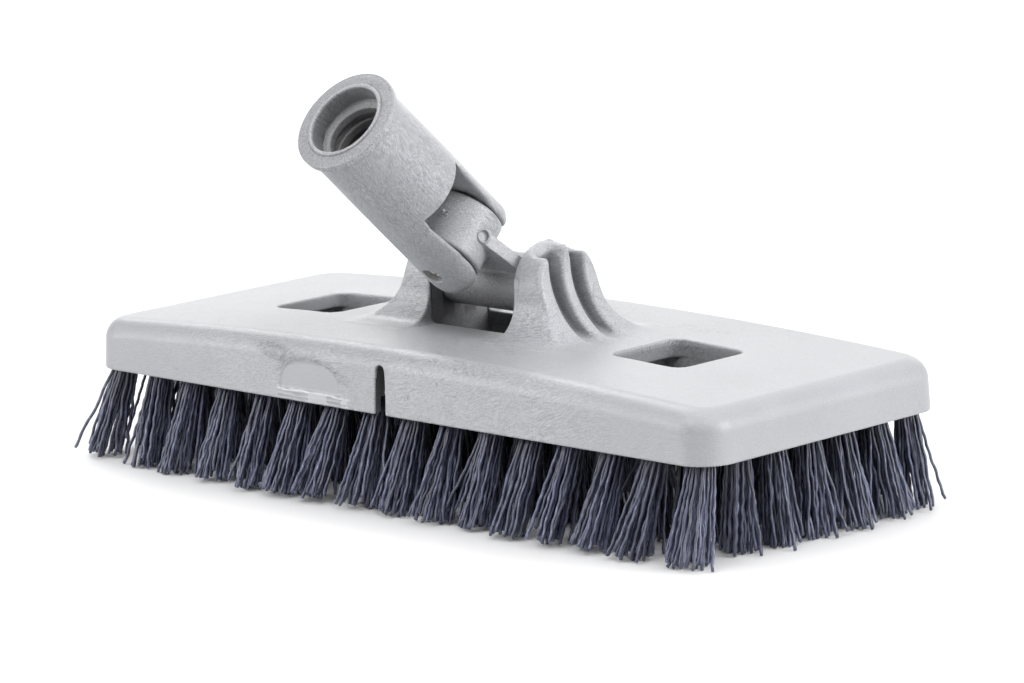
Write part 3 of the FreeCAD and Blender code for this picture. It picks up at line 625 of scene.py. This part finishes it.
def plastic(name, base, dirs, gate=False, rim=False, shade=False, streak=1.0, swirl=0.011):
    """Moulded grey plastic: short swirling flow streaks, hairlines, flow loops and a few specks; the flags add
    painted shade in recesses and low on the barrel, and painted light on the pedestals.
    """
    m = Mat(name)
    mul = lambda a, b: m.math("MULTIPLY", a, b)
    sep = m.node("ShaderNodeSeparateXYZ")
    m.link(m.co, sep.inputs[0])
    X, Y, Z = sep.outputs
    ax = m.math("ABSOLUTE", X)
    # swirling flow: coordinates bent by slow noise, then strongly stretched noise along the flow
    _, warp = m.noise(m.mapped((46, 46, 46)), 1.0, 2.0)
    add = m.node("ShaderNodeVectorMath", operation="MULTIPLY_ADD")
    m.link(warp, add.inputs[0])
    add.inputs[1].default_value = (swirl, swirl, swirl)
    m.link(m.co, add.inputs[2])
    bent = add.outputs[0]
    f1, _ = m.noise(axes(m, bent, dirs, (330, 2900, 2900)), 1.0, 2.0, 0.6, 0.1)
    turned = [np.array(dirs[0]) * 0.9 + np.array(dirs[1]) * 0.3 + np.array(dirs[2]) * 0.3, dirs[1] - np.array(dirs[0]) * 0.3, dirs[2] - np.array(dirs[0]) * 0.3]
    f2, _ = m.noise(axes(m, bent, turned, (620, 4200, 4200)), 1.0, 2.0, 0.6, 0.1)
    grain, _ = m.noise(m.mapped((4200, 4200, 4200)), 1.0, 1.0)
    big, _ = m.noise(m.mapped((26, 26, 26)), 1.0, 3.0, 0.55)
    patch, _ = m.noise(m.mapped((38, 38, 38), loc=(5.0, 2.0, 9.0)), 1.0, 1.0)
    amount = mul(span(m, patch, 0.36, 0.60, 0.55, 1.0), streak)
    if gate:
        amount = mul(amount, span(m, ax, 0.055, 0.105, 1.0, 0.25))
    # hairline marks: thin level lines of a warped noise, broken up by a second one
    h1, _ = m.noise(m.mapped((60, 60, 90)), 1.0, 4.0, 0.6, 1.2)
    line = span(m, m.math("ABSOLUTE", m.math("SUBTRACT", h1, 0.5)), 0.0015, 0.0055, 1.0, 0.0)
    where, _ = m.noise(m.mapped((34, 34, 34), loc=(3.1, 7.7, 1.9)), 1.0, 1.0)
    line = mul(line, span(m, where, 0.50, 0.58))
    # specks
    vor = m.node("ShaderNodeTexVoronoi", feature="F1")
    vor.inputs["Scale"].default_value = 120.0
    m.link(m.co, vor.inputs["Vector"])
    speck = m.math("LESS_THAN", vor.outputs["Distance"], 0.028)

    c2 = m.ramp(f1, [(0.34, (0.69, 0.69, 0.695)), (0.50, (1.0, 1.0, 1.0)), (0.66, (1.27, 1.27, 1.265))])
    c3 = m.ramp(f2, [(0.34, (0.74, 0.74, 0.743)), (0.66, (1.24, 1.24, 1.24))])
    c4 = m.ramp(grain, [(0.32, (0.91, 0.91, 0.91)), (0.68, (1.08, 1.08, 1.08))])
    col = m.ramp(big, [(0.30, grey(base * 0.95)), (0.70, grey(base * 1.05))])
    if gate:
        # smooth half-oval of the trimmed gate, its torn strip and the darker swirl round it
        front = m.math("LESS_THAN", Y, -0.034)
        px = m.math("ADD", X, 0.0296)
        pz = m.math("SUBTRACT", Z, 0.0316)
        def oval(cx, cz, rx, rz, x=px, z=pz, n=2.0):
            a = m.math("POWER", m.math("ABSOLUTE", mul(m.math("SUBTRACT", x, cx), 1.0 / rx)), n)
            b = m.math("POWER", m.math("ABSOLUTE", mul(m.math("SUBTRACT", z, cz), 1.0 / rz)), n)
            return m.math("POWER", m.math("ADD", a, b), 1.0 / n)
        lens = mul(mul(span(m, oval(0, 0, 0.0126, 0.0087, n=2.7), 0.97, 1.0, 1.0, 0.0), m.math("GREATER_THAN", pz, -0.0002)), front)
        wob = mul(m.math("SUBTRACT", patch, 0.5), 0.5)
        halo = span(m, m.math("ADD", oval(0.0008, 0.0, 0.0180, 0.0118), wob), 0.80, 1.06, 1.0, 0.0)
        halo = mul(halo, span(m, pz, 0.002, 0.007))
        tilted = m.math("ADD", pz, mul(m.math("ADD", px, 0.0128), 0.16))
        tail = span(m, m.math("ADD", oval(-0.0128, 0.0098, 0.0112, 0.0029, z=tilted), wob), 0.60, 1.08, 1.0, 0.0)
        dark = mul(mul(m.math("MAXIMUM", halo, tail), front), m.math("SUBTRACT", 1.0, lens))
        sx = span(m, m.math("ABSOLUTE", m.math("SUBTRACT", px, 0.0008)), 0.0139, 0.0146, 1.0, 0.0)
        sz = span(m, m.math("ABSOLUTE", m.math("ADD", pz, 0.0016)), 0.0016, 0.0020, 1.0, 0.0)
        strip = mul(mul(sx, sz), front)
        amount = mul(amount, m.math("SUBTRACT", 1.0, mul(front, 0.35)))
        amount = mul(m.math("ADD", amount, mul(dark, 0.8)), m.math("SUBTRACT", 1.0, mul(lens, 0.85)))
    col = m.mix(col, c2, mul(amount, 0.85), "MULTIPLY")
    col = m.mix(col, c3, mul(amount, 0.85), "MULTIPLY")
    col = m.mix(col, c4, 0.8, "MULTIPLY")
    hair = mul(line, 0.55)
    if gate:
        hair = mul(hair, span(m, ax, 0.070, 0.100, 1.0, 0.25))
        # dark hairs on the front face, and nested flow loops on the faces of the pedestals
        g1, _ = m.noise(m.mapped((70, 70, 95), loc=(1.7, 0.3, 4.0)), 1.0, 3.0, 0.55, 0.9)
        g1 = span(m, m.math("ABSOLUTE", m.math("SUBTRACT", g1, 0.52)), 0.001, 0.006, 1.0, 0.0)
        gx = mul(span(m, X, 0.004, 0.014), span(m, X, 0.052, 0.070, 1.0, 0.0))
        gw, _ = m.noise(m.mapped((90, 90, 90), loc=(2.0, 8.0, 3.0)), 1.0, 1.0)
        hair = m.math("MAXIMUM", hair, mul(mul(mul(g1, gx), front), span(m, gw, 0.46, 0.56, 0.0, 0.55)))
        l1, _ = m.noise(m.mapped((150, 60, 62), loc=(0.4, 6.1, 2.2)), 1.0, 1.0, 0.4, 0.6)
        l1 = m.math("FRACT", mul(l1, 7.0))
        l1 = span(m, m.math("ABSOLUTE", m.math("SUBTRACT", l1, 0.5)), 0.02, 0.075, 1.0, 0.0)
        pm = mul(mul(span(m, Z, 0.047, 0.051), span(m, Z, 0.062, 0.070, 1.0, 0.0)), m.math("LESS_THAN", ax, 0.05))
        pm = mul(pm, m.math("GREATER_THAN", m.math("ABSOLUTE", m.math("SUBTRACT", Y, 0.0082)), 0.0075))
        hair = m.math("MAXIMUM", hair, mul(mul(l1, pm), span(m, gw, 0.42, 0.56, 0.0, 0.38)))
    col = m.mix(col, grey(base * 0.38), hair)
    col = m.mix(col, grey(base * 0.5), mul(speck, 0.5))
    rough = span(m, f1, 0.3, 0.7, 0.30, 0.43)
    if gate:
        # painted light: everything above z 19 mm, the pedestals, is made paler. Painted shade in their grooves, in
        # the skirt slots, on the inner faces of the pedestals and well, and on the window walls
        yb = m.math("ABSOLUTE", m.math("SUBTRACT", Y, 0.0082))
        # painted light: the pedestals paler than the rest of the block
        col = m.mix(col, (1.12, 1.12, 1.12), span(m, Z, 0.047, 0.052), "MULTIPLY")
        # painted shade deep in the pedestal grooves
        rg = m.math("SQRT", m.math("ADD", mul(m.math("SUBTRACT", ax, 0.0465), m.math("SUBTRACT", ax, 0.0465)),
                                   mul(m.math("SUBTRACT", Z, 0.0685), m.math("SUBTRACT", Z, 0.0685))))
        painted_groove_shade = span(m, m.math("ABSOLUTE", m.math("SUBTRACT", yb, 0.0045)), 0.0022, 0.0027, 1.0, 0.0)
        painted_groove_shade = mul(mul(painted_groove_shade, span(m, rg, 0.0210, 0.0245)), mul(span(m, Z, 0.0465, 0.0495), span(m, Z, 0.0680, 0.0715, 1.0, 0.0)))
        col = m.mix(col, (0.45, 0.45, 0.455), painted_groove_shade, "MULTIPLY")
        # painted shade inside the slots of the front and back skirt
        painted_slot_shade = mul(m.math("LESS_THAN", m.math("ABSOLUTE", m.math("ADD", X, 0.0006)), 0.0031), m.math("LESS_THAN", Z, 0.0440))
        painted_slot_shade = mul(painted_slot_shade, mul(m.math("GREATER_THAN", yb, 0.036), span(m, yb, 0.0493, 0.0499, 1.0, 0.0)))
        col = m.mix(col, (0.55, 0.55, 0.55), painted_slot_shade, "MULTIPLY")
        # painted shade on the pedestals' inner faces and the well walls
        painted_well_shade = mul(mul(m.math("LESS_THAN", ax, 0.01745), m.math("LESS_THAN", yb, 0.0121)), span(m, Z, 0.070, 0.055))
        col = m.mix(col, (0.58, 0.58, 0.585), painted_well_shade, "MULTIPLY")
        # painted shade on the walls inside the windows
        painted_window_shade = mul(m.math("LESS_THAN", m.math("ABSOLUTE", m.math("SUBTRACT", ax, 0.069)), 0.0139), m.math("LESS_THAN", yb, 0.0147))
        painted_window_shade = mul(painted_window_shade, span(m, Z, 0.0452, 0.0442))
        col = m.mix(col, (0.74, 0.74, 0.745), painted_window_shade, "MULTIPLY")
    nrm = m.bump(f1, 0.32 * streak, 0.00022)
    nrm = m.bump(f2, 0.26 * streak, 0.00012, nrm)
    if gate:
        col = m.mix(col, (0.64, 0.64, 0.65), mul(dark, 0.8), "MULTIPLY")
        col = m.mix(col, grey(base * 1.0), mul(lens, 0.7))
        # torn strip: drawn bands of light and dark; its bright bands, brightest along the top edge, are painted
        # highlights of the glossy torn face; a paler block on its right half
        t1, _ = m.noise(m.mapped((130, 130, 900)), 1.0, 2.0, 0.6, 0.5)
        band = m.math("ADD", mul(m.math("ADD", pz, 0.0036), 270.0), mul(m.math("SUBTRACT", t1, 0.5), 0.5))
        tone = m.ramp(band, [(0.02, grey(base * 0.80)), (0.20, grey(base * 1.30)), (0.36, grey(base * 0.62)), (0.52, grey(base * 1.2)),
                             (0.70, grey(base * 0.66)), (0.86, grey(base * 1.75)), (0.98, grey(base * 0.9))])
        block = mul(mul(m.math("GREATER_THAN", px, -0.0004), m.math("LESS_THAN", px, 0.0072)), m.math("LESS_THAN", pz, -0.0006))
        tone = m.mix(tone, grey(base * 1.35), mul(block, 0.75))
        col = m.mix(col, tone, mul(strip, 0.9))
        fl, _ = m.noise(m.mapped((420, 420, 620), loc=(0.7, 0.1, 3.3)), 1.0, 2.0, 0.6)
        fz = mul(span(m, px, 0.0128, 0.0140), span(m, m.math("ADD", px, mul(pz, 1.1)), 0.0150, 0.0168, 1.0, 0.0))
        flake = mul(mul(mul(fz, span(m, pz, -0.0008, 0.0002, 1.0, 0.0)), span(m, fl, 0.44, 0.52)), front)
        col = m.mix(col, grey(base * 1.6), mul(flake, 0.8))
        rough = m.math("SUBTRACT", rough, mul(strip, 0.16))
    if shade:
        # painted shade low on the lower barrel
        col = m.mix(col, (0.60, 0.595, 0.59), span(m, Z, 0.066, 0.0525), "MULTIPLY")
    if rim:
        # end face of the socket: fine radial ticks, and a line of painted shade at the foot of the raised ring
        def local(axis, off):
            n = m.node("ShaderNodeVectorMath", operation="DOT_PRODUCT")
            m.link(m.co, n.inputs[0])
            n.inputs[1].default_value = tuple(float(c) for c in axis)
            return m.math("SUBTRACT", n.outputs["Value"], float(off))
        centre = (P2 + SHIFT) * 0.001
        ly, lz = local(E2, E2 @ centre), local(DD, DD @ centre)
        rr = m.math("SQRT", m.math("ADD", mul(X, X), mul(ly, ly)))
        ang = m.node("ShaderNodeCombineXYZ")
        m.link(mul(m.math("ARCTAN2", ly, X), 34.0), ang.inputs[0])
        m.link(mul(rr, 420.0), ang.inputs[1])
        tick, _ = m.noise(ang.outputs[0], 1.0, 3.0, 0.6)
        face = mul(m.math("GREATER_THAN", lz, 0.0569), m.math("GREATER_THAN", rr, 0.0124))
        tk = m.ramp(tick, [(0.34, (0.84, 0.84, 0.84)), (0.66, (1.12, 1.12, 1.12))])
        col = m.mix(col, tk, mul(face, 0.9), "MULTIPLY")
        col = m.mix(col, (0.86, 0.86, 0.86), face, "MULTIPLY")
        # painted shade on the wall of the lead-in bore
        wall = mul(m.math("LESS_THAN", rr, 0.0113), mul(m.math("GREATER_THAN", lz, 0.0520), m.math("LESS_THAN", lz, 0.0572)))
        col = m.mix(col, (0.66, 0.66, 0.66), wall, "MULTIPLY")
        # painted shade in the crease at the foot of the raised ring
        foot = mul(span(m, m.math("ABSOLUTE", m.math("SUBTRACT", rr, 0.01242)), 0.00008, 0.00028, 1.0, 0.0), m.math("GREATER_THAN", lz, 0.0569))
        col = m.mix(col, (0.55, 0.55, 0.56), mul(foot, 0.75), "MULTIPLY")
        # grime, and painted shade growing darker deeper in the threaded bore
        bore_grime_and_shade = mul(span(m, lz, 0.0525, 0.045), m.math("LESS_THAN", rr, 0.0113))
        bore_grime_and_shade = mul(bore_grime_and_shade, m.math("GREATER_THAN", lz, 0.0275))
        col = m.mix(col, (0.72, 0.70, 0.68), bore_grime_and_shade, "MULTIPLY")
    m.link(col, m.p.inputs["Base Color"])
    m.link(rough, m.p.inputs["Roughness"])
    m.p.inputs["IOR"].default_value = 1.49
    m.link(nrm, m.p.inputs["Normal"])
    return m.m


def bristle_mat(name, k):
    m = Mat(name)
    n1, _ = m.noise(m.mapped((900, 900, 260)), 1.0, 3.0, 0.6)
    n2, _ = m.noise(m.mapped((3300, 3300, 3300)), 1.0, 2.0, 0.6)
    col = m.ramp(n1, [(0.28, (0.021, 0.024, 0.048)), (0.52, (0.047, 0.053, 0.096)), (0.75, (0.140, 0.155, 0.228))])
    c2 = m.ramp(n2, [(0.32, (0.50, 0.50, 0.52)), (0.68, (1.60, 1.60, 1.56))])
    col = m.mix(col, c2, 0.85, "MULTIPLY")
    own = m.node("ShaderNodeAttribute", attribute_name="shade")
    tint = m.node("ShaderNodeCombineXYZ")
    for k3 in range(3):
        m.link(own.outputs["Fac"], tint.inputs[k3])
    col = m.mix(col, tint.outputs[0], 1.0, "MULTIPLY")
    # painted shade: darker towards the roots, under the skirt
    sep = m.node("ShaderNodeSeparateXYZ")
    m.link(m.co, sep.inputs[0])
    col = m.mix(col, (0.52 * k, 0.52 * k, 0.54 * k), span(m, sep.outputs[2], 0.012, 0.030), "MULTIPLY")
    # painted shade: a darker copy for the inner rows
    if k < 1:
        col = m.mix(col, (k, k, k), 1.0, "MULTIPLY")
    m.link(col, m.p.inputs["Base Color"])
    m.p.inputs["Roughness"].default_value = 0.31
    m.p.inputs["Specular IOR Level"].default_value = 0.75
    m.link(m.bump(n2, 0.6, 0.00014), m.p.inputs["Normal"])
    return m.m


def steel(name, base, rough, metal=1.0):
    m = Mat(name)
    n1, _ = m.noise(m.mapped((700, 700, 700)), 1.0, 3.0, 0.6)
    n2, _ = m.noise(m.mapped((5200, 5200, 700)), 1.0, 2.0, 0.5)
    col = m.ramp(n1, [(0.3, tuple(b * 0.72 for b in base)), (0.7, tuple(min(1, b * 1.15) for b in base))])
    m.link(col, m.p.inputs["Base Color"])
    m.p.inputs["Metallic"].default_value = metal
    rr = m.node("ShaderNodeMapRange")
    rr.inputs["To Min"].default_value = rough * 0.8
    rr.inputs["To Max"].default_value = rough * 1.3
    m.link(n2, rr.inputs["Value"])
    m.link(rr.outputs[0], m.p.inputs["Roughness"])
    m.link(m.bump(n2, 0.25, 0.00006), m.p.inputs["Normal"])
    return m.m


def put(obj, mat):
    obj.data.materials.clear()
    obj.data.materials.append(mat)


put(block, plastic("block_grey", 0.28, ((0.97, 0.1, 0.22), (-0.1, 0.99, 0.0), (-0.22, 0.0, 0.97)), gate=True))
put(cross, plastic("cross_grey", 0.28, (DD, EX, E2), shade=True, streak=1.25))
put(socket, plastic("socket_grey", 0.28, (DD, EX, E2), rim=True, streak=1.1))
# the inner rows get a darker, shaded copy of the bristle material: painted shade
outer, inner = bristle_mat("crimped_bristle", 1.0), bristle_mat("crimped_bristle_inner_shaded", 0.72)
for row, o in zip(ROW_ORDER, bristles):
    put(o, outer if row in ("front_row", "back_row", "left_end", "right_end") else inner)
put(nodes["spring_pin"], steel("spring_steel", (0.98, 0.88, 0.70), 0.40, 0.4))
put(nodes["axle_pin"], steel("axle_steel", (0.60, 0.60, 0.61), 0.30))
wire = steel("anchor_steel", (0.62, 0.61, 0.58), 0.35)
for row in ROW_ORDER:
    put(nodes["anchors_" + row], wire)

# ------------------------------------------------------------------ floor, light, camera
me = bpy.data.meshes.new("floor")
S = 6.0
me.from_pydata([(-S, -S, 0), (S, -S, 0), (S, S, 0), (-S, S, 0)], [], [(0, 1, 2, 3)])
floor = bpy.data.objects.new("floor", me)
bpy.context.scene.collection.objects.link(floor)
fm = Mat("floor_white")
fn, _ = fm.noise(fm.mapped((3, 3, 3)), 1.0, 2.0)
fm.link(fm.ramp(fn, [(0.3, (0.66, 0.66, 0.664)), (0.7, (0.69, 0.69, 0.694))]), fm.p.inputs["Base Color"])
fm.p.inputs["Roughness"].default_value = 0.6
put(floor, fm.m)

world = bpy.data.worlds.new("studio")
bpy.context.scene.world = world
world.use_nodes = True
wt = world.node_tree
bg = wt.nodes["Background"]
# pale all round near the horizon, dim overhead: the soft lamps do the lighting
tc = wt.nodes.new("ShaderNodeTexCoord")
sp = wt.nodes.new("ShaderNodeSeparateXYZ")
wt.links.new(tc.outputs["Generated"], sp.inputs[0])
fade = wt.nodes.new("ShaderNodeMapRange")
fade.interpolation_type = "SMOOTHSTEP"
for key, val in (("From Min", 0.04), ("From Max", 0.24), ("To Min", 1.25), ("To Max", 0.08)):
    fade.inputs[key].default_value = val
wt.links.new(sp.outputs["Z"], fade.inputs["Value"])
side = wt.nodes.new("ShaderNodeVectorMath")
side.operation = "DOT_PRODUCT"
wt.links.new(tc.outputs["Generated"], side.inputs[0])
side.inputs[1].default_value = (-0.70, 0.71, 0.0)
turn = wt.nodes.new("ShaderNodeMapRange")
for key, val in (("From Min", -0.7), ("From Max", 0.3), ("To Min", 0.3), ("To Max", 1.0)):
    turn.inputs[key].default_value = val
wt.links.new(side.outputs["Value"], turn.inputs["Value"])
both = wt.nodes.new("ShaderNodeMath")
both.operation = "MULTIPLY"
wt.links.new(fade.outputs[0], both.inputs[0])
wt.links.new(turn.outputs[0], both.inputs[1])
bg.inputs["Color"].default_value = (1.0, 1.0, 1.0, 1)
wt.links.new(both.outputs[0], bg.inputs["Strength"])


def area(name, loc, aim, size, power, color=(1, 1, 1)):
    li = bpy.data.lights.new(name, "AREA")
    li.shape = "RECTANGLE"
    li.size, li.size_y = size
    li.energy = power
    li.color = color
    o = bpy.data.objects.new(name, li)
    bpy.context.scene.collection.objects.link(o)
    o.location = loc
    o.rotation_euler = (Vector(aim) - Vector(loc)).to_track_quat("-Z", "Y").to_euler()
    return o


area("top_soft", (0.0, 0.0, 1.7), (0, 0, 0.05), (2.6, 2.2), 37)
area("top_back", (-0.4, 1.5, 1.3), (0, 0, 0.05), (2.4, 1.6), 11)
area("left_front", (-1.3, -1.5, 0.8), (0, 0, 0.05), (1.4, 1.2), 17)
area("left_card", (-1.0, -1.1, 0.14), (0, 0, 0.10), (0.9, 0.24), 4)
area("right_side", (1.8, 0.7, 0.8), (0, 0, 0.05), (1.4, 1.2), 47)
area("back_low", (-1.3, 1.5, 0.5), (0, 0, 0.05), (2.0, 0.9), 7)
area("left_high", (-1.29, 0.57, 1.27), (0, 0, 0.05), (0.45, 0.9), 8)
area("front_high", (0.0, -1.35, 1.25), (0, 0, 0.08), (1.0, 0.8), 14)
area("right_glint", (1.15, -0.5, 1.3), (0, 0, 0.08), (0.5, 0.5), 6)

cam = bpy.data.cameras.new("cam")
cam.sensor_width = 36.0
cam.sensor_fit = "HORIZONTAL"
cam.lens = 5001.0 / 1024.0 * 36.0
co = bpy.data.objects.new("cam", cam)
bpy.context.scene.collection.objects.link(co)
yaw, pitch, roll = (math.radians(a) for a in (44.15, 10.99, -1.88))
fwd = np.array([-math.sin(yaw) * math.cos(pitch), math.cos(yaw) * math.cos(pitch), -math.sin(pitch)])
right = np.array([math.cos(yaw), math.sin(yaw), 0.0])
upv = np.cross(right, fwd)
r2 = right * math.cos(roll) + upv * math.sin(roll)
u2 = -right * math.sin(roll) + upv * math.cos(roll)
pos = to_row(np.array([-45.8, 51.1, 0.0]) - fwd * 1535.0)
M = Matrix.Identity(4)
for a in range(3):
    M[a][0], M[a][1], M[a][2], M[a][3] = r2[a], u2[a], -fwd[a], pos[a]
co.matrix_world = M
cam.clip_end = 50
bpy.context.scene.camera = co
bpy.context.scene.view_settings.view_transform = "Standard"
